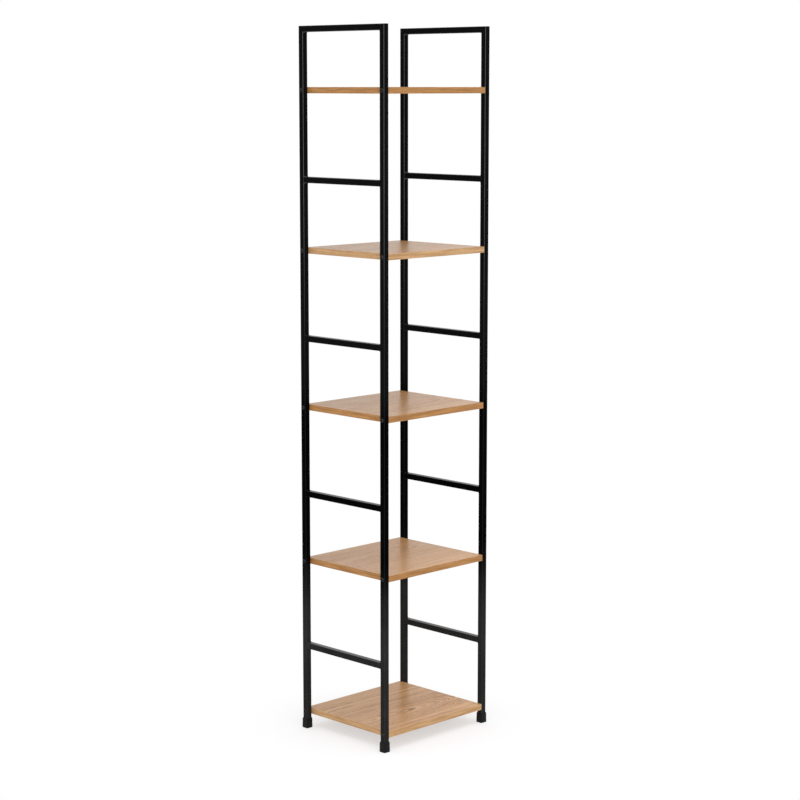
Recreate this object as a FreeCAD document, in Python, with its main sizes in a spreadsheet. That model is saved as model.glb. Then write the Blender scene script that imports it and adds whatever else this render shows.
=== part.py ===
# Open shelving unit: two welded square-tube ladder frames with shelves bolted between them.
# Millimetres. X runs left to right seen from the front, the front faces -Y, Z is up,
# and the origin lies on the floor at the middle of the footprint.
import FreeCAD, Part
import Sketcher
import math
import os

from FreeCAD import Placement, Rotation, Vector

SIZES = (
    ("shelf_length", 330, "shelf, from one side frame to the other"),
    ("shelf_depth", 295, "shelf and side frame, front to rear"),
    ("shelf_thickness", 15, "board of a shelf"),
    ("shelf_pitch", 388.5, "top of one shelf to the top of the next"),
    ("edging_thickness", 0.8, "strip glued on each edge of a shelf"),
    ("edging_round", 0.5, "rounding of the outer edges of the strips"),
    ("tube_size", 15, "square tube of the side frames, across its flats"),
    ("tube_wall", 1.2, "wall of the square tube"),
    ("tube_corner", 1.25, "outer corner radius of the square tube"),
    ("rung_rise", 158, "top of a shelf to the underside of the rung above it"),
    ("top_rise", 131, "top of the highest shelf to the underside of the top rails"),
    ("weld_leg", 2.5, "leg of a weld bead"),
    ("foot_height", 25, "foot cap, from the floor to its rim"),
    ("foot_floor", 4, "bottom of the foot cap under the tube"),
    ("foot_wall", 1.6, "wall of the foot cap at its rim"),
    ("foot_flare", 0.35, "how much wider the foot cap is at the floor, each side"),
    ("foot_corner", 2, "corner radius of the foot cap"),
    ("foot_round", 0.8, "rounding where the foot cap meets the floor"),
    ("foot_play", 0.1, "gap between foot cap and tube, each side"),
    ("foot_gap", 10, "rim of the foot cap to the underside of the lowest shelf"),
    ("bolt_diameter", 6, "thread of a shelf bolt"),
    ("bolt_inset", 7.5, "front or rear edge of a shelf to the axis of its bolts"),
    ("bolt_tip", 0.8, "chamfer at the tip of a shelf bolt"),
    ("head_diameter", 10.5, "domed head of a shelf bolt"),
    ("head_height", 3.3, "domed head of a shelf bolt, above the tube"),
    ("socket_width", 4, "hexagon socket, across its flats"),
    ("socket_depth", 2, "hexagon socket, below the crown of the head"),
    ("bolt_play", 0.6, "how much wider than the bolt its holes are"),
    ("tip_past_nut", 2, "how far the bolt passes its nut"),
    ("tip_play", 3, "bore left free past the tip of the bolt"),
    ("nut_setback", 28, "end of the shelf to the axis of a barrel nut"),
    ("nut_diameter", 10, "barrel nut"),
    ("nut_cover", 1.5, "board left between a barrel nut and the top of the shelf"),
    ("nut_recess", 1.5, "barrel nut, below the underside of the shelf"),
    ("nut_play", 0.2, "how much wider than the barrel nut its hole is"),
    ("thread_play", 0.1, "how much wider than the bolt the thread of the nut is"),
    ("slot_width", 1.5, "screwdriver slot of a barrel nut"),
    ("slot_depth", 1.8, "screwdriver slot of a barrel nut"),
)

SHELF_COUNT = 5
SIDES = {"left": -1, "right": 1}
ENDS = {"front": -1, "rear": 1}
X_AXIS = Vector(1, 0, 0)
Z_AXIS = Vector(0, 0, 1)
ORIGIN_POINT = (-1, 1)
START, END, CENTRE = range(1, 4)  # numbers of the points of a sketch line or arc
SAME_PLACE = 1e-4
ROUGH = 1.0  # size of a sketch before its constraints are solved

doc = FreeCAD.newDocument("shelving_unit")
sheet = doc.addObject("Spreadsheet::Sheet", "size")
for row, (alias, value, meaning) in enumerate(SIZES, start=1):
    sheet.set(f"A{row}", str(value))
    sheet.setAlias(f"A{row}", alias)
    sheet.set(f"B{row}", meaning)
doc.recompute()

# Places that several pieces share, as expressions on the sheet
POST_X = "(size.shelf_length + size.tube_size) / 2"
POST_Y = "(size.shelf_depth - size.tube_size) / 2"
OUTER_X = "(size.shelf_length / 2 + size.tube_size)"
CORNER_Y = "(size.shelf_depth / 2 - size.tube_size)"
LOWEST_SHELF_TOP = "(size.foot_height + size.foot_gap + size.shelf_thickness)"
RAIL_BOTTOM = f"({LOWEST_SHELF_TOP} + {SHELF_COUNT - 1} * size.shelf_pitch + size.top_rise)"
FRAME_TOP = f"({RAIL_BOTTOM} + size.tube_size)"
CORE_LENGTH = "(size.shelf_length - 2 * size.edging_thickness)"
CORE_DEPTH = "(size.shelf_depth - 2 * size.edging_thickness)"
NUT_X = "(size.shelf_length / 2 - size.nut_setback)"
BOLT_Y = "(size.shelf_depth / 2 - size.bolt_inset)"
BOLT_HOLE = "(size.bolt_diameter + size.bolt_play)"
BOLT_REACH = "(size.nut_setback + size.nut_diameter / 2 + size.tip_past_nut)"
BOLT_LINES = [(sign, BOLT_Y) for sign in ENDS.values()]


def shelf_top(level):
    return f"({LOWEST_SHELF_TOP} + {level - 1} * size.shelf_pitch)"


def shelf_middle(level):
    return f"({shelf_top(level)} - size.shelf_thickness / 2)"


def rung_bottom(level):
    return f"({shelf_top(level)} + size.rung_rise)"


# Sketches and features


def new_body(label):
    body = doc.addObject("PartDesign::Body", label)
    body.Label = label
    return body


def new_sketch(body, name, plane, offset=None, slide=None):
    # offset lifts the sketch off its plane, slide moves it along its own X
    sketch = body.newObject("Sketcher::SketchObject", f"{body.Name}_{name}")
    support = next(f for f in body.Origin.OriginFeatures if f.Role == plane)
    sketch.AttachmentSupport = [(support, "")]
    sketch.MapMode = "FlatFace"
    if offset:
        sketch.setExpression("AttachmentOffset.Base.z", offset)
    if slide:
        sketch.setExpression("AttachmentOffset.Base.x", slide)
    return sketch


def constrain(sketch, kind, *where, to=None):
    # a constraint that takes a size is bound to an expression on the sheet
    if to is None:
        sketch.addConstraint(Sketcher.Constraint(kind, *where))
    else:
        index = sketch.addConstraint(Sketcher.Constraint(kind, *where, ROUGH))
        sketch.setExpression(f"Constraints[{index}]", to)


def polygon(sketch, points):
    # closed outline of straight lines through rough points
    corners = [Vector(x, y, 0) for x, y in points]
    lines = []
    for start, end in zip(corners, corners[1:] + corners[:1]):
        lines.append(sketch.addGeometry(Part.LineSegment(start, end)))
    for line, following in zip(lines, lines[1:] + lines[:1]):
        constrain(sketch, "Coincident", line, END, following, START)
    return lines


def rectangle(sketch, width, height):
    # centred on the sketch's origin
    corners = ((-ROUGH, -ROUGH), (ROUGH, -ROUGH), (ROUGH, ROUGH), (-ROUGH, ROUGH))
    bottom, right, top, left = polygon(sketch, corners)
    constrain(sketch, "Horizontal", bottom)
    constrain(sketch, "Horizontal", top)
    constrain(sketch, "Vertical", left)
    constrain(sketch, "Vertical", right)
    constrain(sketch, "Symmetric", bottom, START, top, START, *ORIGIN_POINT)
    constrain(sketch, "DistanceX", bottom, START, bottom, END, to=width)
    constrain(sketch, "DistanceY", right, START, right, END, to=height)


def place(sketch, kind, geometry, point, sign, distance):
    # puts a point at a distance from the origin, on the side that sign gives
    ends = (*ORIGIN_POINT, geometry, point) if sign > 0 else (geometry, point, *ORIGIN_POINT)
    constrain(sketch, kind, *ends, to=distance)


def circle(sketch, diameter, across=None, up=None):
    # across and up are (sign, distance) from the origin, or None for a centre on that axis
    middle = Vector(across[0] * ROUGH if across else 0, up[0] * ROUGH if up else 0, 0)
    ring = sketch.addGeometry(Part.Circle(middle, Z_AXIS, ROUGH))
    constrain(sketch, "Diameter", ring, to=diameter)
    if across:
        place(sketch, "DistanceX", ring, CENTRE, *across)
    else:
        constrain(sketch, "Vertical", ring, CENTRE, *ORIGIN_POINT)
    if up:
        place(sketch, "DistanceY", ring, CENTRE, *up)
    else:
        constrain(sketch, "Horizontal", ring, CENTRE, *ORIGIN_POINT)


def mitre_triangle(sketch, across, up, leg):
    # right-angled, with its square corner at (sign, distance) across and up, reaching back inwards
    corner = (across[0] * ROUGH, up[0] * ROUGH)
    base, _, wall = polygon(sketch, (corner, (0, corner[1]), (corner[0], 0)))
    constrain(sketch, "Horizontal", base)
    constrain(sketch, "Vertical", wall)
    place(sketch, "DistanceX", base, START, *across)
    place(sketch, "DistanceY", base, START, *up)
    base_ends = (base, START, base, END) if across[0] < 0 else (base, END, base, START)
    wall_ends = (wall, END, wall, START) if up[0] < 0 else (wall, START, wall, END)
    constrain(sketch, "DistanceX", *base_ends, to=leg)
    constrain(sketch, "DistanceY", *wall_ends, to=leg)


def pad(body, sketch, length, symmetric=False):
    feature = body.newObject("PartDesign::Pad", f"{sketch.Name}_pad")
    feature.Profile = sketch
    feature.SideType = "Symmetric" if symmetric else "One side"
    feature.setExpression("Length", length)
    return feature


def pocket(body, sketch, length, reverse=False, symmetric=False):
    # cuts against the sketch's normal, or along it when reversed, and must take something away
    doc.recompute()
    before = body.Shape.Volume
    feature = body.newObject("PartDesign::Pocket", f"{sketch.Name}_pocket")
    feature.Profile = sketch
    feature.SideType = "Symmetric" if symmetric else "One side"
    feature.Reversed = reverse
    feature.setExpression("Length", length)
    doc.recompute()
    if body.Shape.Volume >= before:
        raise RuntimeError(f"{feature.Name} cuts nothing")
    return feature


def fillet(body, feature, radius, chosen):
    # rounds the edges of the last feature that chosen accepts
    doc.recompute()
    names = [f"Edge{i}" for i, edge in enumerate(feature.Shape.Edges, start=1) if chosen(edge)]
    rounding = body.newObject("PartDesign::Fillet", f"{body.Name}_fillet")
    rounding.Base = (feature, names)
    rounding.setExpression("Radius", radius)
    return rounding


def move(piece, x=None, y=None, z=None, turn=None):
    if turn:
        piece.Placement = Placement(Vector(), turn)
    for axis, expression in (("x", x), ("y", y), ("z", z)):
        if expression:
            piece.setExpression(f"Placement.Base.{axis}", expression)


def group(label, pieces):
    # one node that holds several separate solids
    node = doc.addObject("Part::Compound", label)
    node.Label = label
    node.Links = pieces
    return node


def copy_of(piece, name, x=None, y=None, z=None, turn=None):
    link = doc.addObject("App::Link", name)
    link.LinkedObject = piece
    move(link, x, y, z, turn)
    return link


# Side frames


def square_tube(label, plane, length, symmetric=False, start=None):
    # hollow square tube with rounded outer corners, square to the given plane
    body = new_body(label)
    section = new_sketch(body, "section", plane, start)
    rectangle(section, "size.tube_size", "size.tube_size")
    rectangle(section, "size.tube_size - 2 * size.tube_wall", "size.tube_size - 2 * size.tube_wall")
    tube = pad(body, section, length, symmetric)
    doc.recompute()
    outline = tube.Shape.BoundBox
    along = 2 if plane == "XY_Plane" else 1
    reach = sheet.tube_size / 2

    def is_outer_corner(edge):
        spots = [vertex.Point for vertex in edge.Vertexes]
        across = [abs(abs(spot[i]) - reach) for spot in spots for i in range(3) if i != along]
        return max(across) < SAME_PLACE and edge.Length > outline.DiagonalLength / 2

    fillet(body, tube, "size.tube_corner", is_outer_corner)
    return body


def upright(side, end):
    # stands on the bottom of its foot cap, mitred at the top towards the other upright
    length = f"{FRAME_TOP} - size.foot_floor"
    body = square_tube(f"{side}_{end}_upright", "XY_Plane", length, start="size.foot_floor")
    mitre = new_sketch(body, "mitre", "YZ_Plane")
    above = (1, f"{FRAME_TOP} + size.tube_size / 2")
    mitre_triangle(mitre, (1, "size.tube_size"), above, "2 * size.tube_size")
    pocket(body, mitre, "2 * size.tube_size", symmetric=True)
    holes = new_sketch(body, "bolt_holes", "YZ_Plane", slide=f"{POST_Y} - {BOLT_Y}")
    for level in range(1, SHELF_COUNT + 1):
        circle(holes, BOLT_HOLE, up=(1, shelf_middle(level)))
    pocket(body, holes, "2 * size.tube_size", symmetric=True)
    turn = Rotation(Z_AXIS, 0 if end == "front" else 180)
    move(body, f"{SIDES[side]} * {POST_X}", f"{ENDS[end]} * {POST_Y}", turn=turn)
    return body


def top_rail(side):
    # mitred at both ends onto the uprights
    body = square_tube(f"{side}_top_rail", "XZ_Plane", "size.shelf_depth", symmetric=True)
    for end, sign in ENDS.items():
        mitre = new_sketch(body, f"{end}_mitre", "YZ_Plane")
        across = (sign, "size.shelf_depth / 2 + size.tube_size / 2")
        mitre_triangle(mitre, across, (-1, "size.tube_size"), "2 * size.tube_size")
        pocket(body, mitre, "2 * size.tube_size", symmetric=True)
    move(body, x=f"{SIDES[side]} * {POST_X}", z=f"{RAIL_BOTTOM} + size.tube_size / 2")
    return body


def rung(side, level):
    # cut square and butted between the two uprights
    body = square_tube(f"{side}_rung_{level}", "XZ_Plane", f"2 * {CORNER_Y}", symmetric=True)
    move(body, x=f"{SIDES[side]} * {POST_X}", z=f"{rung_bottom(level)} + size.tube_size / 2")
    return body


def weld_bead():
    # quarter-round bead in the corner between +Y and +Z, as wide as the flat of the tube
    body = new_body("weld_bead")
    section = new_sketch(body, "section", "YZ_Plane")
    base = section.addGeometry(Part.LineSegment(Vector(), Vector(ROUGH, 0, 0)))
    crown = section.addGeometry(Part.ArcOfCircle(Part.Circle(Vector(), Z_AXIS, ROUGH), 0, math.pi / 2))
    wall = section.addGeometry(Part.LineSegment(Vector(0, ROUGH, 0), Vector()))
    constrain(section, "Coincident", base, START, *ORIGIN_POINT)
    constrain(section, "Coincident", wall, END, *ORIGIN_POINT)
    constrain(section, "Coincident", crown, CENTRE, *ORIGIN_POINT)
    constrain(section, "Coincident", base, END, crown, START)
    constrain(section, "Coincident", wall, START, crown, END)
    constrain(section, "Horizontal", base)
    constrain(section, "Vertical", wall)
    constrain(section, "Radius", crown, to="size.weld_leg")
    pad(body, section, "size.tube_size - 2 * size.tube_corner", symmetric=True)
    return body


def frame_welds(side, bead):
    # a bead over and under each end of each rung, and one inside each mitred corner
    quarter = {("front", "over"): 0, ("rear", "over"): 90, ("rear", "under"): 180, ("front", "under"): 270}
    corners = [("top", "under", RAIL_BOTTOM)]
    for level in range(1, SHELF_COUNT):
        corners.append((f"rung_{level}", "over", f"{rung_bottom(level)} + size.tube_size"))
        corners.append((f"rung_{level}", "under", rung_bottom(level)))
    beads = []
    for end, sign in ENDS.items():
        for name, edge, height in corners:
            turn = Rotation(X_AXIS, quarter[end, edge])
            spot = (f"{SIDES[side]} * {POST_X}", f"{sign} * {CORNER_Y}", height)
            beads.append(copy_of(bead, f"{side}_{end}_{name}_{edge}_bead", *spot, turn))
    return group(f"{side}_frame_welds", beads)


def foot_cap(side, end):
    # flared cap pushed over the foot of an upright
    body = new_body(f"{end}_{side}_foot_cap")
    rim_width = "(size.tube_size + 2 * (size.foot_play + size.foot_wall))"
    base_width = f"({rim_width} + 2 * size.foot_flare)"
    base = new_sketch(body, "base", "XY_Plane")
    rectangle(base, base_width, base_width)
    block = pad(body, base, "size.foot_height")
    block.setExpression("TaperAngle", "-atan(size.foot_flare / size.foot_height)")

    def is_upright_corner(edge):
        heights = [vertex.Z for vertex in edge.Vertexes]
        return max(heights) - min(heights) > SAME_PLACE

    def is_on_floor(edge):
        return max(vertex.Z for vertex in edge.Vertexes) < SAME_PLACE

    corners = fillet(body, block, "size.foot_corner", is_upright_corner)
    fillet(body, corners, "size.foot_round", is_on_floor)
    socket = new_sketch(body, "socket", "XY_Plane", "size.foot_height")
    socket_width = "size.tube_size + 2 * size.foot_play"
    rectangle(socket, socket_width, socket_width)
    pocket(body, socket, "size.foot_height - size.foot_floor")
    move(body, f"{SIDES[side]} * {POST_X}", f"{ENDS[end]} * {POST_Y}")
    return body


# Shelves


def plate(label, plane, width, height, thickness, holes=None):
    # flat piece drawn on a plane and thickened evenly to both sides, with bolt holes where asked
    body = new_body(label)
    outline = new_sketch(body, "outline", plane)
    rectangle(outline, width, height)
    for across in holes or ():
        circle(outline, BOLT_HOLE, across=across)
    pad(body, outline, thickness, symmetric=True)
    return body


def shelf_board(level):
    # board with bolt bores in its two ends and barrel nut holes in its underside
    body = plate(f"shelf_{level}_board", "XY_Plane", CORE_LENGTH, CORE_DEPTH, "size.shelf_thickness")
    for side, sign in SIDES.items():
        bores = new_sketch(body, f"{side}_bores", "YZ_Plane", f"{sign} * {CORE_LENGTH} / 2")
        for across in BOLT_LINES:
            circle(bores, BOLT_HOLE, across=across)
        depth = f"{BOLT_REACH} + size.tip_play - size.edging_thickness"
        pocket(body, bores, depth, reverse=side == "left")
    nut_holes = new_sketch(body, "nut_holes", "XY_Plane", "-size.shelf_thickness / 2")
    for sign in SIDES.values():
        for line_sign, line in BOLT_LINES:
            circle(nut_holes, "size.nut_diameter + size.nut_play", (sign, NUT_X), (line_sign, line))
    pocket(body, nut_holes, "size.shelf_thickness - size.nut_cover", reverse=True)
    move(body, z=shelf_middle(level))
    return body


def edging_strip(label, plane, sign, length, holes=None, round_ends=False):
    # strip whose outer face looks along sign on the normal of its plane, with rounded outer edges
    body = plate(label, plane, length, "size.shelf_thickness", "size.edging_thickness", holes)
    doc.recompute()
    normal = 0 if plane == "YZ_Plane" else 1
    outer = sign * sheet.edging_thickness / 2

    def is_outer_edge(edge):
        spots = [vertex.Point for vertex in edge.Vertexes]
        on_face = all(abs(spot[normal] - outer) < SAME_PLACE for spot in spots)
        level_edge = abs(spots[0].z - spots[-1].z) < SAME_PLACE
        return on_face and len(spots) > 1 and (level_edge or round_ends)

    radius = "min(size.edging_round; 0.9 * size.edging_thickness)"
    fillet(body, body.Tip, radius, is_outer_edge)
    return body


def shelf_edging(level):
    # strips on the two ends, then on the full length of the front and rear edges
    strips = []
    for side, sign in SIDES.items():
        strip = edging_strip(f"shelf_{level}_{side}_strip", "YZ_Plane", sign, CORE_DEPTH, BOLT_LINES)
        move(strip, x=f"{sign} * (size.shelf_length - size.edging_thickness) / 2", z=shelf_middle(level))
        strips.append(strip)
    for end, sign in ENDS.items():
        name = f"shelf_{level}_{end}_strip"
        strip = edging_strip(name, "XZ_Plane", sign, "size.shelf_length", round_ends=True)
        move(strip, y=f"{sign} * (size.shelf_depth - size.edging_thickness) / 2", z=shelf_middle(level))
        strips.append(strip)
    return group(f"shelf_{level}_edging", strips)


# Fasteners


def shelf_bolt():
    # domed bolt along +X, with the seat of its head on the origin
    body = new_body("shelf_bolt")
    profile = new_sketch(body, "profile", "XZ_Plane")
    height, radius = sheet.head_height, sheet.head_diameter / 2
    shank, length, tip = sheet.bolt_diameter / 2, sheet.tube_size + sheet.nut_setback, sheet.bolt_tip
    dome = (radius ** 2 + height ** 2) / (2 * height)
    centre = Vector(dome - height, 0, 0)
    opening = math.atan2(radius, -centre.x)
    crown = profile.addGeometry(Part.ArcOfCircle(Part.Circle(centre, Z_AXIS, dome), opening, math.pi))
    points = [Vector(-height, 0, 0), Vector(length, 0, 0), Vector(length, shank - tip, 0),
              Vector(length - tip, shank, 0), Vector(0, shank, 0), Vector(0, radius, 0)]
    lines = [profile.addGeometry(Part.LineSegment(a, b)) for a, b in zip(points, points[1:])]
    middle, nose, chamfer, side, seat = lines
    for before, after in zip(lines, lines[1:]):
        constrain(profile, "Coincident", before, END, after, START)
    constrain(profile, "Coincident", crown, START, seat, END)
    constrain(profile, "Coincident", crown, END, middle, START)
    constrain(profile, "Horizontal", crown, CENTRE, *ORIGIN_POINT)
    constrain(profile, "Horizontal", middle, START, *ORIGIN_POINT)
    constrain(profile, "Horizontal", middle)
    constrain(profile, "Vertical", nose)
    constrain(profile, "Horizontal", side)
    constrain(profile, "Vertical", seat)
    constrain(profile, "Vertical", seat, END, *ORIGIN_POINT)
    constrain(profile, "DistanceX", middle, START, *ORIGIN_POINT, to="size.head_height")
    constrain(profile, "DistanceX", *ORIGIN_POINT, middle, END, to=f"size.tube_size + {BOLT_REACH}")
    constrain(profile, "DistanceY", *ORIGIN_POINT, seat, END, to="size.head_diameter / 2")
    constrain(profile, "DistanceY", *ORIGIN_POINT, seat, START, to="size.bolt_diameter / 2")
    constrain(profile, "DistanceX", chamfer, END, chamfer, START, to="size.bolt_tip")
    constrain(profile, "DistanceY", chamfer, START, chamfer, END, to="size.bolt_tip")
    turned = body.newObject("PartDesign::Revolution", "shelf_bolt_turned")
    turned.Profile = profile
    turned.ReferenceAxis = (profile, ["H_Axis"])
    turned.Angle = 360
    socket = new_sketch(body, "socket", "YZ_Plane", "-size.head_height")
    hexagon(socket, "size.socket_width")
    pocket(body, socket, "size.socket_depth", reverse=True)
    return body


def hexagon(sketch, across_flats):
    # centred on the origin, with two sides level
    turns = [math.radians(60 * i) for i in range(6)]
    sides = polygon(sketch, [(ROUGH * math.cos(turn), ROUGH * math.sin(turn)) for turn in turns])
    ring = sketch.addGeometry(Part.Circle(Vector(), Z_AXIS, ROUGH), True)
    constrain(sketch, "Coincident", ring, CENTRE, *ORIGIN_POINT)
    for side in sides:
        constrain(sketch, "PointOnObject", side, START, ring)
    for side in sides[1:]:
        constrain(sketch, "Equal", sides[0], side)
    constrain(sketch, "Horizontal", sides[0], START, *ORIGIN_POINT)
    constrain(sketch, "Radius", ring, to=f"{across_flats} / sqrt(3)")


def barrel_nut():
    # upright barrel centred on the bolt, threaded along X and slotted underneath
    body = new_body("barrel_nut")
    outline = new_sketch(body, "outline", "XY_Plane", "size.nut_recess - size.shelf_thickness / 2")
    circle(outline, "size.nut_diameter")
    pad(body, outline, "size.shelf_thickness - size.nut_cover - size.nut_recess")
    thread = new_sketch(body, "thread", "YZ_Plane")
    circle(thread, "size.bolt_diameter + size.thread_play")
    pocket(body, thread, "2 * size.nut_diameter", symmetric=True)
    slot = new_sketch(body, "slot", "XY_Plane", "size.nut_recess - size.shelf_thickness / 2")
    rectangle(slot, "2 * size.nut_diameter", "size.slot_width")
    pocket(body, slot, "size.slot_depth", reverse=True)
    return body


def at_each_bolt(label, piece, x):
    # one copy of the piece at every place where a shelf meets an upright
    copies = []
    for level in range(1, SHELF_COUNT + 1):
        for side, sign in SIDES.items():
            for end, end_sign in ENDS.items():
                turn = Rotation(Z_AXIS, 0 if side == "left" else 180)
                spot = (f"{sign} * {x}", f"{end_sign} * {BOLT_Y}", shelf_middle(level))
                copies.append(copy_of(piece, f"{label}_{level}_{side}_{end}", *spot, turn))
    return group(label, copies)


nodes = []
for side_name in SIDES:
    for end_name in ENDS:
        nodes.append(upright(side_name, end_name))
        nodes.append(foot_cap(side_name, end_name))
    nodes.append(top_rail(side_name))
    nodes += [rung(side_name, level) for level in range(1, SHELF_COUNT)]
bead_pattern = weld_bead()
nodes += [frame_welds(side_name, bead_pattern) for side_name in SIDES]
for shelf_level in range(1, SHELF_COUNT + 1):
    nodes.append(shelf_board(shelf_level))
    nodes.append(shelf_edging(shelf_level))
nodes.append(at_each_bolt("shelf_bolts", shelf_bolt(), OUTER_X))
nodes.append(at_each_bolt("barrel_nuts", barrel_nut(), NUT_X))
doc.recompute()

failed = [o.Label for o in doc.Objects if "Invalid" in o.State or "Error" in o.State]
failed += [node.Label for node in nodes if node.Shape.isNull() or not node.Shape.isValid()]
if failed:
    raise RuntimeError(f"failed: {failed}")

os.makedirs("parts", exist_ok=True)
for node in nodes:
    node.Shape.exportStep(f"parts/{node.Label}.step")
    box = node.Shape.BoundBox
    print(f"{node.Label}: {len(node.Shape.Solids)} solids, {node.Shape.Volume:.0f} mm3, "
          f"{box.XLength:.1f} x {box.YLength:.1f} x {box.ZLength:.1f}")
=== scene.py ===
import bmesh
import bpy
import math
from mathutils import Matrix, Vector


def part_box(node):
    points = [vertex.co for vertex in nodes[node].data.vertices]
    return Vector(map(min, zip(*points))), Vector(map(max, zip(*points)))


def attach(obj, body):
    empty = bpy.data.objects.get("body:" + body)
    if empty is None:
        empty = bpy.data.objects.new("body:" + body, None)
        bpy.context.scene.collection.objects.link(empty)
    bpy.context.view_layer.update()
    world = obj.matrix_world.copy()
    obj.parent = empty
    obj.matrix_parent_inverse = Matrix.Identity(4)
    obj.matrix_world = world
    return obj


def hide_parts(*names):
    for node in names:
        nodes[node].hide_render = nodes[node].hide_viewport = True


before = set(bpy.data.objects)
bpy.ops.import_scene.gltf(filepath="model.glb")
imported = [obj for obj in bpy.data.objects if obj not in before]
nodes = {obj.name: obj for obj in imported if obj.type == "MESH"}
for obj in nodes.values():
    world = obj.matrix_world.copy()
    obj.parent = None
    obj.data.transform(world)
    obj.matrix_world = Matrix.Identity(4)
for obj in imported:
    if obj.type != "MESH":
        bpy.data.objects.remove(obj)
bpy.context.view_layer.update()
mm = 0.001
hair = 0.01 * mm  # nearer than this counts as the same place
sides = ("left", "right")
ends = ("front", "rear")
shelfLevels = range(1, 6)
rungLevels = range(1, 5)
print("loaded", len(nodes), "CAD nodes")


class Wire:  # one shader socket, so that shader maths reads as plain sums
    def __init__(self, tree, socket):
        self.tree = tree
        self.socket = socket

    def node(self, kind, settings=None, sockets=None, out=0):
        made = self.tree.nodes.new("ShaderNode" + kind)
        for name, value in (settings or {}).items():
            if name == "stops":  # a ramp's (place, colour) pairs, instead of the two it starts with
                made.color_ramp.elements.remove(made.color_ramp.elements[0])
                for place, colour in value:
                    made.color_ramp.elements.new(place).color = colour
                made.color_ramp.elements.remove(made.color_ramp.elements[-1])
            else:
                setattr(made, name, value)
        for name, value in (sockets or {}).items():
            if isinstance(value, Wire):
                self.tree.links.new(value.socket, made.inputs[name])
            else:
                made.inputs[name].default_value = value
        return Wire(self.tree, made.outputs[out])

    def maths(self, operation, *others):
        return self.node("Math", {"operation": operation}, dict(enumerate((self, *others))))

    def __add__(self, other):
        return self.maths("ADD", other)

    def __sub__(self, other):
        return self.maths("SUBTRACT", other)

    def __rsub__(self, other):
        return self.node("Math", {"operation": "SUBTRACT"}, {0: other, 1: self})

    def __mul__(self, other):
        return self.maths("MULTIPLY", other)

    def __truediv__(self, other):
        return self.maths("DIVIDE", other)

    def __abs__(self):
        return self.maths("ABSOLUTE")

    __radd__ = __add__
    __rmul__ = __mul__

    def rise(self, low, high):  # 0 up to low, 1 from high on, eased between
        span = {"Value": self, "From Min": low, "From Max": high}
        return self.node("MapRange", {"interpolation_type": "SMOOTHSTEP"}, span)

    def blend(self, first, second):  # colours, this wire being the share of the second
        return self.node("Mix", {"data_type": "RGBA"}, {0: self, 6: first, 7: second}, 2)

    def stretch(self, x, y, z):
        return self.node("VectorMath", {"operation": "MULTIPLY"}, {0: self, 1: (x, y, z)})

    def parts(self):
        made = self.node("SeparateXYZ", None, {0: self}).socket.node
        return [Wire(self.tree, socket) for socket in made.outputs]

    def facing(self):  # the surface's direction, in the object's own frame
        return Wire(self.tree, self.socket.node.outputs["Normal"])

    def noise(self, scale=1.0, detail=2.0, rough=0.5):
        grain = {"Vector": self, "Scale": scale, "Detail": detail, "Roughness": rough}
        return self.node("TexNoise", None, grain)

    def drawn(self, stretch, detail, rough):  # noise drawn out along the grain
        return self.stretch(*stretch).noise(1.0, detail, rough)

    def line(self, start, gain):
        return start + self * gain

    def atLeast(self, least):  # from least up to 1
        return self.line(least, 1 - least)

    def into(self, shader, name):
        self.tree.links.new(self.socket, shader.inputs[name])

    def relief(self, shader, strength, height):  # a bump on the shader, this wire being its shape
        bump = {"Strength": strength, "Distance": height, "Height": self}
        self.node("Bump", None, bump).into(shader, "Normal")


def newLook(name, **values):  # a material with its shader and its place on the object
    look = bpy.data.materials.new(name)
    look.use_nodes = True
    tree = look.node_tree
    shader = tree.nodes["Principled BSDF"]
    for socket, value in values.items():
        shader.inputs[socket.replace("_", " ")].default_value = value
    place = Wire(tree, tree.nodes.new("ShaderNodeTexCoord").outputs["Object"])
    return look, shader, place


def dress(look, *names):
    for name in names:
        nodes[name].material_slots[0].material = look


# black powder coat of the tubes: orange peel, faint clouds, glossier corners and tops, a painted sheen
# higher up and painted floor-bounce light low down
powderCoat = {
    "black": (0.0010, 0.0010, 0.0011, 1),
    "grey": (0.0018, 0.0018, 0.0019, 1),
    # painted sheen: the tubes lighter higher up
    "sheenTone": (0.0062, 0.0062, 0.0064, 1),
    "sheenReach": (0.79, 0.90),  # heights in metres, as in the other reaches
    "sheenEven": 0.8,
    # painted floor-bounce light: the tubes lighter towards the bottom
    "bounceTone": (0.0282, 0.0280, 0.0279, 1),
    "bounceReach": (0.26, 0.49),
    "bounceEven": 0.7,
    "roughness": 0.52,
    "specular": 0.006,
    "cornerRoughness": 0.30,
    "cornerGloss": 1.70,
    "cornerLow": 0.15,
    "cornerFacing": (0.92, 0.999),
    "handReach": (0.90, 1.40),
    "topGloss": 0.66,
    "topFacing": (0.90, 0.99),
    "cloudScale": 14.0,
    "cloudEdge": (0.3, 0.7),
    "cloudDull": 0.06,
    "peelScale": 700.0,
    "peelStrength": 0.05,
    "peelHeight": 0.05 * mm,
    "nibScale": 161.0,
    "nibEdge": (0.74, 0.82),
    "nibHeight": 0.3,
}


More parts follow.
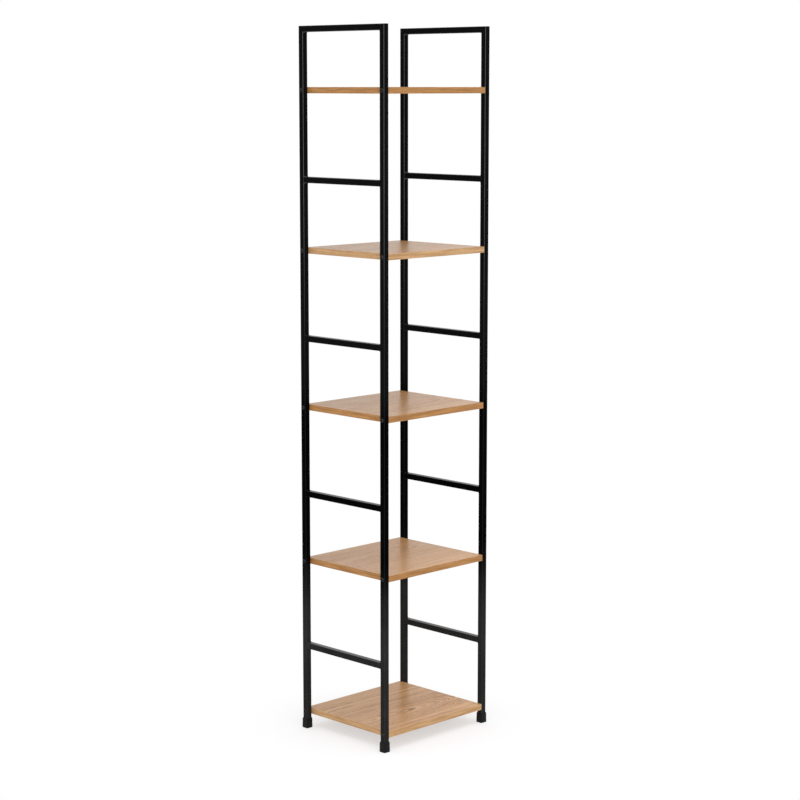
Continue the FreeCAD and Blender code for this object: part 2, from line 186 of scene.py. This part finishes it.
def makePowderCoat():
    coat = powderCoat
    look, shader, place = newLook("powderCoat", Specular_IOR_Level=coat["specular"],
                                  Coat_Roughness=coat["cornerRoughness"], Coat_IOR=coat["cornerGloss"])
    height = place.parts()[2]
    cloud = place.noise(coat["cloudScale"], 4.0, 0.6).rise(*coat["cloudEdge"])
    peel = place.noise(coat["peelScale"], 1.5)
    nib = place.noise(coat["nibScale"], 0.0).rise(*coat["nibEdge"])
    x, y, z = place.node("VectorMath", {"operation": "ABSOLUTE"}, {0: place.facing()}).parts()
    corner = 1 - x.maths("MAXIMUM", y).maths("MAXIMUM", z).rise(*coat["cornerFacing"])
    upward = place.facing().parts()[2].rise(*coat["topFacing"])  # powder settles thicker on top
    handled = height.rise(*coat["handReach"]).atLeast(coat["cornerLow"])  # rubbed by hands
    (corner * handled + upward * coat["topGloss"]).into(shader, "Coat Weight")
    paintedSheen = height.rise(*coat["sheenReach"]) * cloud.atLeast(coat["sheenEven"])  # painted sheen: the tubes lighter higher up
    paintedBounce = (1 - height.rise(*coat["bounceReach"])) * cloud.atLeast(coat["bounceEven"])  # painted floor-bounce light: the tubes lighter towards the bottom
    tone = cloud.blend(coat["black"], coat["grey"])
    tone = paintedSheen.blend(tone, coat["sheenTone"])
    paintedBounce.blend(tone, coat["bounceTone"]).into(shader, "Base Color")
    (coat["roughness"] + (cloud - 0.5) * coat["cloudDull"]).into(shader, "Roughness")
    (peel + nib * coat["nibHeight"]).relief(shader, coat["peelStrength"], coat["peelHeight"])
    return look


# moulded plastic of the foot caps: spark-eroded texture, rubbed paler just above the floor
capPlastic = {
    "black": (0.0075, 0.0075, 0.0077, 1),
    "rubbed": (0.022, 0.0215, 0.021, 1),
    "rubReach": (0.2 * mm, 1.6 * mm),
    "rubDull": 0.12,
    "roughness": 0.55,
    "specular": 0.12,
    "scuffScale": 420.0,
    "scuffStretch": (1, 1, 0.3),
    "scuffEdge": (0.45, 0.7),
    "sparkScale": 2200.0,
    "sparkDull": 0.2,
    "sparkStrength": 0.25,
    "sparkHeight": 0.03 * mm,
}


def makeCapPlastic():
    cap = capPlastic
    look, shader, place = newLook("capPlastic", Specular_IOR_Level=cap["specular"])
    height = place.parts()[2]
    spark = place.noise(cap["sparkScale"], 2.0, 0.7)
    scuff = place.stretch(*cap["scuffStretch"]).noise(cap["scuffScale"], 3.0, 0.6)
    rubbed = scuff.rise(*cap["scuffEdge"]) * (1 - height.rise(*cap["rubReach"]))
    rubbed.blend(cap["black"], cap["rubbed"]).into(shader, "Base Color")
    uneven = (spark - 0.5) * cap["sparkDull"]
    (cap["roughness"] + uneven + rubbed * cap["rubDull"]).into(shader, "Roughness")
    spark.relief(shader, cap["sparkStrength"], cap["sparkHeight"])
    return look


# oak decor of the shelves, flat-sawn with the grain from side to side, over a chipboard core
oakBoard = {
    "early": (0.890, 0.560, 0.290, 1),
    "pale": (0.750, 0.418, 0.184, 1),
    "mid": (0.580, 0.298, 0.115, 1),
    "late": (0.300, 0.116, 0.029, 1),
    "pore": (0.155, 0.062, 0.019, 1),
    # painted shade: each board darker than the one below
    "paintedShadeStep": 0.07,
    # painted light: the boards paler to the right and to the front
    "paintedLightSlope": (0.52, -0.60),
    "grain": {  # stretch along x, y and z, detail, roughness
        "sway": ((2.6, 7.0, 5.0), 2.0, 0.5),
        "flame": ((9.0, 42.0, 5.0), 3.0, 0.55),
        "jag": ((70.0, 380.0, 5.0), 2.0, 0.5),
        "patch": ((10.0, 30.0, 5.0), 3.0, 0.5),
        "fleck": ((60.0, 420.0, 9.0), 2.0, 0.5),
        "streak": ((5.0, 190.0, 9.0), 4.0, 0.6),
        "fibre": ((60.0, 1500.0, 30.0), 2.0, 0.5),
        "pore": ((170.0, 2600.0, 30.0), 1.0, 0.5),
    },
    "patchEdge": (0.28, 0.72),
    "fleckEdge": (0.52, 0.68),
    "streakEdge": (0.3, 0.72),
    "poreEdge": (0.57, 0.66),
    "sway": 26 * mm,
    "flame": 10 * mm,
    "jag": 2.0 * mm,
    "ringWidth": 4.8 * mm,
    "yearSpread": 1.6,
    "yearLeast": 0.25,
    "pithDepth": 20 * mm,
    "pithTilt": 0.12,
    "pithShift": 0.12,
    "tiltShift": 0.1,
    "lateStops": [  # place in the year, darkness of the late wood there
        (0.0, (0.03, 0.03, 0.03, 1)),
        (0.45, (0.12, 0.12, 0.12, 1)),
        (0.80, (1.0, 1.0, 1.0, 1)),
        (0.92, (0.60, 0.60, 0.60, 1)),
        (1.0, (0.06, 0.06, 0.06, 1)),
    ],
    "earlyRise": (0.02, 0.10),
    "earlyFall": (0.22, 0.42),
    "plainFigure": 0.90,
    "boldFigure": 1.35,
    "streakShare": 0.60,
    "earlyShare": (0.25, 0.55),
    "lateShare": (0.22, 0.80),
    "poreShare": (0.14, 0.70),
    "fleck": 0.16,
    "roughness": 0.31,
    "specular": 0.28,
    "poreDull": 0.16,
    "patchDull": 0.06,
    "coreDull": 0.45,
    "coreFlake": 640.0,
    "flakeStretch": (1, 0.45, 1),
    "coreDark": (0.300, 0.185, 0.095, 1),
    "corePale": (0.560, 0.400, 0.240, 1),
    "decor": 0.25 * mm,
    "decorFade": 1.2,
    "reliefStrength": 0.12,
    "reliefHeight": 0.06 * mm,
    "coreHeight": 2.0,
}
lowBoard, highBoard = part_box("shelf_1_board")
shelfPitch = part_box("shelf_2_board")[1].z - highBoard.z
boardMiddle = (lowBoard.z + highBoard.z) / 2
boardHalf = (highBoard.z - lowBoard.z) / 2


def shelfLuck(place, z):  # the shelf's level and three numbers for it, so that no two shelves match
    level = (z / shelfPitch + 0.5).maths("FLOOR")
    luck = place.node("TexWhiteNoise", {"noise_dimensions": "1D"}, {"W": level + 1.8}, "Color")
    return [level, *luck.parts()]


def growthRings(place, level, luck, layer):  # rings round a pith under the board, counted outwards
    oak = oakBoard
    x, y = place.parts()[:2]
    sway, flame, jag = [(layer[name] - 0.5) * oak[name] for name in ("sway", "flame", "jag")]
    across = y + (luck[0] - 0.5) * oak["pithShift"] + sway + flame
    tilted = (x + (luck[2] - 0.5) * oak["tiltShift"]) * oak["pithTilt"]
    depth = oak["pithDepth"] * (0.8 + luck[1]) + tilted
    ring = ((across * across + depth * depth).maths("SQRT") + jag) / oak["ringWidth"]
    slow = {"W": ring * 0.37 + level * 9.1, "Detail": 1.0}
    uneven = ring.node("TexNoise", {"noise_dimensions": "1D"}, slow)
    return ring + (uneven - 0.5) * oak["yearSpread"]  # some years are wide and some narrow


def makeOakBoard():
    oak = oakBoard
    look, shader, place = newLook("oakBoard", Specular_IOR_Level=oak["specular"])
    x, y, z = place.parts()
    level, *luck = shelfLuck(place, z)
    layer = {name: place.drawn(*values) for name, values in oak["grain"].items()}
    patch, fleck, streak, pore = [layer[name].rise(*oak[name + "Edge"])
                                  for name in ("patch", "fleck", "streak", "pore")]
    ring = growthRings(place, level, luck, layer)
    season = ring.maths("FRACT")
    yearSeed = {"W": ring.maths("FLOOR") + level * 31.0}
    year = ring.node("TexWhiteNoise", {"noise_dimensions": "1D"}, yearSeed)
    calm = level.rise(0.2, 0.8) * (oak["boldFigure"] - oak["plainFigure"])
    bold = oak["boldFigure"] - calm  # the lowest board is the boldest
    late = ring.node("ValToRGB", {"stops": oak["lateStops"]}, {0: season})
    late = late * year.atLeast(oak["yearLeast"]) * bold
    early = season.rise(*oak["earlyRise"]) * (1 - season.rise(*oak["earlyFall"])) * bold
    base = streak * oak["streakShare"] + layer["fibre"] * (1 - oak["streakShare"])
    tone = base.blend(oak["pale"], oak["mid"])
    tone = (early * patch.line(*oak["earlyShare"])).blend(tone, oak["early"])
    lateShown = late * patch.line(*oak["lateShare"]) + fleck * bold * oak["fleck"]
    tone = lateShown.blend(tone, oak["late"])
    tone = (pore * late.line(*oak["poreShare"])).blend(tone, oak["pore"])
    paintedLightSlope = 1 + x * oak["paintedLightSlope"][0] + y * oak["paintedLightSlope"][1]  # painted light: paler to the right and to the front
    shade = (1 - level * oak["paintedShadeStep"]) * paintedLightSlope  # painted shade: each board darker than the one below
    tone = tone.node("VectorMath", {"operation": "SCALE"}, {0: tone, "Scale": shade})
    chips = {"Vector": place.stretch(*oak["flakeStretch"]), "Scale": oak["coreFlake"]}
    flake = place.node("TexVoronoi", {"distance": "CHEBYCHEV"}, chips, "Color").parts()
    core = flake[0].blend(oak["coreDark"], oak["corePale"])
    fromMiddle = abs(z - level * shelfPitch - boardMiddle)
    skin = fromMiddle.rise(boardHalf - oak["decor"] * oak["decorFade"], boardHalf - oak["decor"])
    skin.blend(core, tone).into(shader, "Base Color")
    dull = pore * oak["poreDull"] + (patch - 0.5) * oak["patchDull"]
    (oak["roughness"] + dull * skin + (1 - skin) * oak["coreDull"]).into(shader, "Roughness")
    shape = (1 - pore) * skin + flake[1] * (1 - skin) * oak["coreHeight"]
    shape.relief(shader, oak["reliefStrength"], oak["reliefHeight"])
    return look


# edging strips: the same oak, warmer, with streaks along each strip; shelves 1 and 4 have a paler batch
oakEdging = {
    "pale": (0.605, 0.303, 0.103, 1),
    "dark": (0.328, 0.142, 0.039, 1),
    "paleBatch": (0.765, 0.475, 0.238, 1),
    "darkBatch": (0.440, 0.233, 0.091, 1),
    "pore": (0.180, 0.076, 0.025, 1),
    "grain": {  # stretch along the strip, up it and from strip to strip, detail, roughness
        "streak": ((14.0, 260.0, 1.0), 4.0, 0.6),
        "fibre": ((70.0, 2400.0, 1.0), 2.0, 0.5),
        "pore": ((120.0, 2600.0, 1.0), 1.0, 0.5),
    },
    "streakEdge": (0.32, 0.68),
    "poreEdge": (0.60, 0.70),
    "streakShare": 0.7,
    "poreShare": 0.5,
    "poreDull": 0.15,
    "roughness": 0.40,
    "specular": 0.28,
    "reliefStrength": 0.15,
    "reliefHeight": 0.05 * mm,
}


def makeOakEdging():
    strip = oakEdging
    look, shader, place = newLook("oakEdging", Specular_IOR_Level=strip["specular"])
    x, y, z = place.parts()
    level, luckA, luckB = shelfLuck(place, z)[:3]
    onSide = abs(x).rise(highBoard.x - 0.1 * mm, highBoard.x)
    along = onSide * y + (1 - onSide) * x + luckA * 3.0  # each shelf has its own length of strip
    spot = place.node("CombineXYZ", None, {0: along, 1: z, 2: onSide * 0.7 + luckB})
    layer = {name: spot.drawn(*values) for name, values in strip["grain"].items()}
    streak = layer["streak"].rise(*strip["streakEdge"])
    pore = layer["pore"].rise(*strip["poreEdge"])
    figure = streak * strip["streakShare"] + layer["fibre"] * (1 - strip["streakShare"])
    warm = figure.blend(strip["pale"], strip["dark"])
    light = figure.blend(strip["paleBatch"], strip["darkBatch"])
    tone = level.maths("MODULO", 3.0).rise(0.4, 0.6).blend(light, warm)
    (pore * strip["poreShare"]).blend(tone, strip["pore"]).into(shader, "Base Color")
    (strip["roughness"] + pore * strip["poreDull"]).into(shader, "Roughness")
    (1 - pore).relief(shader, strip["reliefStrength"], strip["reliefHeight"])
    return look


# blackened steel of the bolts, worn a little brighter in patches
boltSteel = {
    "black": (0.012, 0.012, 0.013, 1),
    "bright": (0.055, 0.054, 0.053, 1),
    "metallic": 0.85,
    "roughness": 0.34,
    "wornScale": 520.0,
    "wornEdge": (0.45, 0.75),
    "grainScale": 1300.0,
    "grainDull": 0.18,
    "grainStrength": 0.08,
    "grainHeight": 0.03 * mm,
}


def makeBoltSteel():
    steel = boltSteel
    look, shader, place = newLook("boltSteel", Metallic=steel["metallic"])
    worn = place.noise(steel["wornScale"], 4.0, 0.7).rise(*steel["wornEdge"])
    grain = place.noise(steel["grainScale"], 2.0)
    worn.blend(steel["black"], steel["bright"]).into(shader, "Base Color")
    (steel["roughness"] + (grain - 0.5) * steel["grainDull"]).into(shader, "Roughness")
    grain.relief(shader, steel["grainStrength"], steel["grainHeight"])
    return look


# zinc of the barrel nuts, with the rings that turning leaves
nutZinc = {
    "pale": (0.560, 0.570, 0.590, 1),
    "dull": (0.340, 0.345, 0.355, 1),
    "roughness": 0.34,
    "cloudScale": 380.0,
    "cloudEdge": (0.35, 0.7),
    "cloudDull": 0.14,
    "turnedScale": 2600.0,
    "turnedStretch": (0.25, 0.25, 1),
    "turnedDull": 0.1,
    "turnedStrength": 0.1,
    "turnedHeight": 0.03 * mm,
}


def makeNutZinc():
    zinc = nutZinc
    look, shader, place = newLook("nutZinc", Metallic=1.0)
    turned = place.stretch(*zinc["turnedStretch"]).noise(zinc["turnedScale"], 2.0)
    cloud = place.noise(zinc["cloudScale"], 3.0, 0.65).rise(*zinc["cloudEdge"])
    cloud.blend(zinc["pale"], zinc["dull"]).into(shader, "Base Color")
    uneven = (turned - 0.5) * zinc["turnedDull"]
    (zinc["roughness"] + cloud * zinc["cloudDull"] + uneven).into(shader, "Roughness")
    turned.relief(shader, zinc["turnedStrength"], zinc["turnedHeight"])
    return look


powderLook = makePowderCoat()
capLook = makeCapPlastic()
boardLook = makeOakBoard()
edgingLook = makeOakEdging()
boltLook = makeBoltSteel()
nutLook = makeNutZinc()
for side in sides:
    dress(powderLook, *[f"{side}_{end}_upright" for end in ends], f"{side}_top_rail")
    dress(powderLook, *[f"{side}_rung_{level}" for level in rungLevels])
dress(boardLook, *[f"shelf_{level}_board" for level in shelfLevels])
dress(edgingLook, *[f"shelf_{level}_edging" for level in shelfLevels])
dress(nutLook, "barrel_nuts")
print("six finishes made, CAD nodes dressed")


def beginPiece():
    bpy.ops.object.select_all(action="DESELECT")


def intoEdit():
    bpy.ops.object.mode_set(mode="EDIT")
    bpy.ops.mesh.select_all(action="DESELECT")


def pick(kind, test):  # selects what passes the test, in edit mode
    bpy.ops.mesh.select_mode(type=kind)
    bpy.ops.mesh.select_all(action="DESELECT")
    mesh = bmesh.from_edit_mesh(bpy.context.edit_object.data)
    for item in {"VERT": mesh.verts, "EDGE": mesh.edges, "FACE": mesh.faces}[kind]:
        if test(item):
            item.select_set(True)
    mesh.select_flush_mode()
    bmesh.update_edit_mesh(bpy.context.edit_object.data)


def endPiece(name, look, angle=40):
    bpy.ops.mesh.select_all(action="SELECT")
    bpy.ops.mesh.remove_doubles(threshold=0.001 * mm)
    bpy.ops.mesh.normals_make_consistent(inside=False)
    bpy.ops.object.mode_set(mode="OBJECT")
    bpy.ops.object.transform_apply(location=True, rotation=True, scale=True)
    bpy.ops.object.shade_smooth_by_angle(angle=math.radians(angle))
    piece = bpy.context.object
    piece.name = piece.data.name = name
    piece.data.materials.clear()
    piece.data.materials.append(look)
    return piece


def copyTo(pattern, spot, turnX=0.0, turnZ=0.0):  # a copy with its own mesh, moved for good
    copy = pattern.copy()
    copy.data = pattern.data.copy()
    bpy.context.collection.objects.link(copy)
    copy.location = spot
    copy.rotation_euler = (turnX, 0, turnZ)
    beginPiece()
    copy.select_set(True)
    bpy.context.view_layer.objects.active = copy
    bpy.ops.object.transform_apply(location=True, rotation=True, scale=True)
    return copy


def joinAs(name, copies):
    beginPiece()
    for copy in copies:
        copy.select_set(True)
    bpy.context.view_layer.objects.active = copies[0]
    bpy.ops.object.join()
    copies[0].name = copies[0].data.name = name
    return copies[0]


def settle(piece, slot, *stoodFor):
    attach(piece, "root")
    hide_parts(*stoodFor)


# foot cap, pushed over the end of an upright
footCap = {
    "rim": 18.4 * mm,
    "corner": 2.0 * mm,
    "floorRound": 0.8 * mm,
    "wall": 1.6 * mm,
    "rimRound": 0.55 * mm,
    "bottom": 4.0 * mm,
    "cornerSteps": 5,
    "roundSteps": 3,
}


def makeFootCap(end, side):
    node = f"{end}_{side}_foot_cap"
    low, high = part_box(node)
    base, tall = high.x - low.x, high.z - low.z
    middle = (low + high) / 2
    beginPiece()
    bpy.ops.mesh.primitive_cube_add(size=1, location=middle)
    bpy.context.object.scale = (base, base, tall)
    bpy.ops.object.transform_apply(location=True, rotation=True, scale=True)
    intoEdit()
    pick("FACE", lambda face: face.normal.z > 0.9)
    taper = footCap["rim"] / base
    bpy.ops.transform.resize(value=(taper, taper, 1), center_override=(middle.x, middle.y, high.z))
    pick("EDGE", lambda edge: abs(edge.verts[0].co.z - edge.verts[1].co.z) > tall / 2)
    bpy.ops.mesh.bevel(offset=footCap["corner"], segments=footCap["cornerSteps"], affect="EDGES")
    pick("EDGE", lambda edge: max(vert.co.z for vert in edge.verts) < low.z + hair)
    bpy.ops.mesh.bevel(offset=footCap["floorRound"], segments=footCap["roundSteps"], affect="EDGES")
    pick("FACE", lambda face: face.normal.z > 0.9)
    bpy.ops.mesh.inset(thickness=footCap["wall"])
    bpy.ops.mesh.extrude_region_move(TRANSFORM_OT_translate={"value": (0, 0, footCap["bottom"] - tall)})
    pick("EDGE", lambda edge: min(vert.co.z for vert in edge.verts) > high.z - hair
         and any(face.normal.z < 0.9 for face in edge.link_faces))
    bpy.ops.mesh.bevel(offset=footCap["rimRound"], segments=footCap["roundSteps"], affect="EDGES")
    piece = endPiece(f"{end}{side.title()}FootCap", capLook)
    settle(piece, "foot_plastic", node)


for side in sides:
    for end in ends:
        makeFootCap(end, side)
print("foot caps modelled")

# domed bolt with a hexagon socket, drawn upright with the seat of its head at z 0
shelfBolt = {
    "head": 10.5 * mm,
    "dome": 3.3 * mm,
    "rim": 0.45 * mm,
    "rimShare": 0.45,
    "seatRound": 0.1 * mm,
    "domeSteps": 7,
    "crown": 2.94 * mm,
    "socket": 4.0 * mm,
    "socketCuts": 7,
    "lip": 0.35 * mm,
    "lipShare": 0.6,
    "socketDepth": 2.0 * mm,
    "pointShare": 0.1,
    "pointDepth": 0.5 * mm,
    "thread": 6.0 * mm,
    "threadPitch": 1.0 * mm,
    "threadDepth": 0.45 * mm,
    "threadTurns": 20,
    "length": 50.0 * mm,
    "tip": 0.8 * mm,
}


def growRing(radius, height, before):  # pulls the picked ring out into a new one
    bpy.ops.mesh.extrude_edges_move(TRANSFORM_OT_translate={"value": (0, 0, height - before[1])})
    share = radius / before[0]
    bpy.ops.transform.resize(value=(share, share, 1), center_override=(0, 0, height))
    return radius, height


def makeShelfBolt():
    bolt = shelfBolt
    corner = bolt["socket"] / math.sqrt(3)
    beginPiece()
    bpy.ops.mesh.primitive_circle_add(vertices=6, radius=corner, fill_type="NOTHING", location=(0, 0, 0))
    intoEdit()
    bpy.ops.mesh.select_all(action="SELECT")
    bpy.ops.mesh.subdivide(number_cuts=bolt["socketCuts"])
    lipHeight = bolt["crown"] - bolt["lip"]
    lipStep = bolt["lip"] * bolt["lipShare"]
    bpy.ops.transform.translate(value=(0, 0, lipHeight))
    now = growRing(corner, lipHeight - bolt["socketDepth"], (corner, lipHeight))  # wall of the socket
    now = growRing(corner * bolt["pointShare"], now[1] - bolt["pointDepth"], now)  # left by the drill
    bpy.ops.mesh.edge_face_add()
    pick("EDGE", lambda edge: min(vert.co.z for vert in edge.verts) > lipHeight - hair)
    bpy.ops.mesh.extrude_edges_move(TRANSFORM_OT_translate={"value": (0, 0, lipStep)})
    bpy.ops.transform.tosphere(value=1.0)
    pick("EDGE", lambda edge: min(vert.co.z for vert in edge.verts) > lipHeight + hair)
    mesh = bmesh.from_edit_mesh(bpy.context.object.data)
    ringNow = max(vert.co.xy.length for vert in mesh.verts if vert.select)
    now = growRing(corner + bolt["lip"], bolt["crown"], (ringNow, lipHeight + lipStep))
    half = bolt["head"] / 2
    ball = (half ** 2 + bolt["dome"] ** 2) / (2 * bolt["dome"])
    ballBase = bolt["dome"] - ball
    flat = math.asin(min(1, (bolt["crown"] - ballBase) / ball))
    rim = math.asin((bolt["rim"] - ballBase) / ball)
    for step in range(bolt["domeSteps"] + 1):
        turn = flat + (rim - flat) * step / bolt["domeSteps"]
        now = growRing(ball * math.cos(turn), ballBase + ball * math.sin(turn), now)
    now = growRing(half, bolt["rim"] * bolt["rimShare"], now)
    now = growRing(half - bolt["seatRound"], 0.0, now)
    thread = bolt["thread"] / 2
    now = growRing(thread, 0.0, now)
    root = thread - bolt["threadDepth"]
    start = -(bolt["length"] - bolt["tip"] - bolt["threadTurns"] * bolt["threadPitch"])
    now = growRing(thread, start, now)
    for turn in range(bolt["threadTurns"]):
        now = growRing(root, start - (turn + 0.5) * bolt["threadPitch"], now)
        now = growRing(thread, start - (turn + 1) * bolt["threadPitch"], now)
    now = growRing(thread - bolt["tip"], -bolt["length"], now)
    bpy.ops.mesh.edge_face_add()
    return endPiece("boltPattern", boltLook, 35)


boltPattern = makeShelfBolt()
boltPattern.rotation_euler = (0, math.radians(-90), 0)  # the head looks along -X
bpy.ops.object.transform_apply(location=True, rotation=True, scale=True)
boltCopies = []
for level in shelfLevels:
    for side in sides:
        for end in ends:
            low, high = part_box(f"{side}_{end}_upright")
            shelfLow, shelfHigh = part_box(f"shelf_{level}_board")
            face = low.x if side == "left" else high.x
            spot = (face, (low.y + high.y) / 2, (shelfLow.z + shelfHigh.z) / 2)
            boltCopies.append(copyTo(boltPattern, spot, turnZ=0.0 if side == "left" else math.pi))
bpy.data.objects.remove(boltPattern)
settle(joinAs("shelfBolts", boltCopies), "black_bolt", "shelf_bolts")
print("bolts modelled:", len(boltCopies))

# weld bead in the corner between a rung and an upright, drawn along X with its corner at the origin
weldBead = {
    "leg": 2.5 * mm,
    "width": 12.5 * mm,
    "ripples": 7,
    "rippleShape": ((0.0, 0.84), (0.2, 0.96), (0.55, 1.0), (0.85, 0.95)),  # place on a ripple, size
    "sweep": 0.55 * mm,
    "sweptFrom": (0.6 * mm, 1.2 * mm),
    "endSize": 0.62,
    "endLength": 0.3 * mm,
}


def makeWeldBead():
    bead = weldBead
    half = bead["width"] / 2
    beginPiece()
    bpy.ops.mesh.primitive_cylinder_add(vertices=32, radius=bead["leg"], depth=bead["width"],
                                        location=(0, 0, 0))
    bpy.context.object.rotation_euler = (0, math.radians(90), 0)
    bpy.ops.object.transform_apply(location=True, rotation=True, scale=True)
    intoEdit()
    for away in ((0, 1, 0), (0, 0, 1)):  # a quarter is left
        bpy.ops.mesh.select_all(action="SELECT")
        bpy.ops.mesh.bisect(plane_co=(0, 0, 0), plane_no=away, use_fill=True, clear_inner=True)
    step = bead["width"] / bead["ripples"]
    for ripple in range(bead["ripples"]):
        start = -half + ripple * step
        for share, size in bead["rippleShape"]:
            if ripple == 0 and share == 0.0:  # the end face is there already
                continue
            bpy.ops.mesh.select_all(action="SELECT")
            bpy.ops.mesh.bisect(plane_co=(start + share * step, 0, 0), plane_no=(1, 0, 0))
            pick("VERT", lambda vert: abs(vert.co.x - start - share * step) < hair)
            bpy.ops.transform.resize(value=(1, size, size), center_override=(0, 0, 0))
    inner = half - bead["endLength"]
    for out in bead["sweptFrom"]:  # the ripples bow along the bead
        pick("VERT", lambda vert: abs(vert.co.x) < inner and min(vert.co.y, vert.co.z) > out)
        bpy.ops.transform.translate(value=(bead["sweep"] * 0.5, 0, 0))
    pick("VERT", lambda vert: abs(vert.co.x) > half - hair)
    bpy.ops.transform.resize(value=(1, bead["endSize"], bead["endSize"]), center_override=(0, 0, 0))
    return endPiece("beadPattern", powderLook, 60)


beadPattern = makeWeldBead()
for side in sides:
    beadCopies = []
    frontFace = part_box(f"{side}_front_upright")[1].y
    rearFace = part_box(f"{side}_rear_upright")[0].y
    for name in [f"{side}_rung_{level}" for level in rungLevels] + [f"{side}_top_rail"]:
        low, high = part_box(name)
        middle = (low.x + high.x) / 2
        beadCopies.append(copyTo(beadPattern, (middle, rearFace, low.z), math.radians(180)))
        beadCopies.append(copyTo(beadPattern, (middle, frontFace, low.z), math.radians(270)))
        if "rung" in name:  # the top rail has nothing above it
            beadCopies.append(copyTo(beadPattern, (middle, frontFace, high.z), 0.0))
            beadCopies.append(copyTo(beadPattern, (middle, rearFace, high.z), math.radians(90)))
    settle(joinAs(f"{side}WeldBeads", beadCopies), "frame_coating", f"{side}_frame_welds")
bpy.data.objects.remove(beadPattern)
print("weld beads modelled")

# floor, backdrop and light
studio = {
    "floorSize": 40.0,
    "floorBounce": (0.80, 0.80, 0.80, 1),
    "floorShade": (0.49, 0.49, 0.50, 1),
    "floorGlow": 0.56,
    "shadowMiddle": (-0.085, -0.085, 0),
    "shadowReach": (0.24, 0.52),
    "ambient": 0.60,
    "lamps": {  # power, width, height, place, aim
        "keyLamp": (700.0, 12.0, 12.0, (-2.0, -2.8, 11.8), (0, 0, 0.8)),
        "frontLamp": (40.0, 1.8, 2.4, (-2.9, -3.2, 1.5), (0, 0, 1.2)),
    },
}


def seenRay(tree):  # 1 for what the camera sees, straight or through gloss and glass
    path = tree.nodes.new("ShaderNodeLightPath")
    names = ("Camera", "Glossy", "Transmission")
    camera, glossy, clear = [Wire(tree, path.outputs[f"Is {name} Ray"]) for name in names]
    return camera.maths("MAXIMUM", glossy.maths("MAXIMUM", clear))


def makeFloor():
    beginPiece()
    bpy.ops.mesh.primitive_plane_add(size=studio["floorSize"], location=(0, 0, -0.05 * mm))
    floor = bpy.context.object
    floor.name = "studioFloor"
    look = bpy.data.materials.new("studioFloor")
    look.use_nodes = True
    tree = look.node_tree
    tree.nodes.remove(tree.nodes["Principled BSDF"])
    seen = seenRay(tree)
    place = Wire(tree, tree.nodes.new("ShaderNodeTexCoord").outputs["Object"])
    span = {0: place, 1: studio["shadowMiddle"]}
    distance = place.node("VectorMath", {"operation": "DISTANCE"}, span, "Value")
    away = distance.rise(*studio["shadowReach"])
    bounce = seen.node("BsdfDiffuse", None, {"Color": studio["floorBounce"]})
    shade = seen.node("BsdfDiffuse", None, {"Color": studio["floorShade"]})
    glow = seen.node("Emission", None, {"Strength": studio["floorGlow"]})
    white = seen.node("Emission", None, {"Strength": 1.0})
    near = seen.node("AddShader", None, {0: shade, 1: glow})
    shown = seen.node("MixShader", None, {0: away, 1: near, 2: white})  # the shadow fades into white
    mixed = seen.node("MixShader", None, {0: seen, 1: bounce, 2: shown})
    mixed.into(tree.nodes["Material Output"], "Surface")
    floor.data.materials.append(look)


def makeWorld():
    world = bpy.data.worlds.new("studioWorld")
    bpy.context.scene.world = world
    world.use_nodes = True
    tree = world.node_tree
    seen = seenRay(tree)
    dim = seen.node("Background", None, {"Color": (1, 1, 1, 1), "Strength": studio["ambient"]})
    white = seen.node("Background", None, {"Color": (1, 1, 1, 1), "Strength": 1.0})
    mixed = seen.node("MixShader", None, {0: seen, 1: dim, 2: white})
    mixed.into(tree.nodes["World Output"], "Surface")


def makeLamp(name, power, width, height, spot, aim):
    bpy.ops.object.light_add(type="AREA", location=spot)
    lamp = bpy.context.object
    lamp.name = name
    lamp.data.energy = power
    lamp.data.shape = "RECTANGLE"
    lamp.data.size = width
    lamp.data.size_y = height
    lamp.rotation_euler = (Vector(aim) - Vector(spot)).to_track_quat("-Z", "Y").to_euler()
    lamp.visible_camera = False


makeFloor()
makeWorld()
for name, lamp in studio["lamps"].items():
    makeLamp(name, *lamp)
bpy.context.scene.view_settings.view_transform = "Standard"
print("studio set")

# camera at the photograph's viewing angle, left of the front and level with the top shelf
viewpoint = {
    "azimuth": 44.600,
    "distance": 5.1385,
    "height": 1.6105,
    "down": 8.585,
    "turn": 0.148,
    "lens": 94.09,
}
azimuth = math.radians(viewpoint["azimuth"])
reach = viewpoint["distance"]
spot = (-reach * math.sin(azimuth), -reach * math.cos(azimuth), viewpoint["height"])
bpy.ops.object.camera_add(location=spot)
camera = bpy.context.object
camera.name = "photoCamera"
pan = -azimuth - math.radians(viewpoint["turn"])
camera.rotation_euler = (math.radians(90 - viewpoint["down"]), 0, pan)
camera.data.sensor_width = 36.0
camera.data.lens = viewpoint["lens"]
bpy.context.scene.camera = camera
print("camera set")
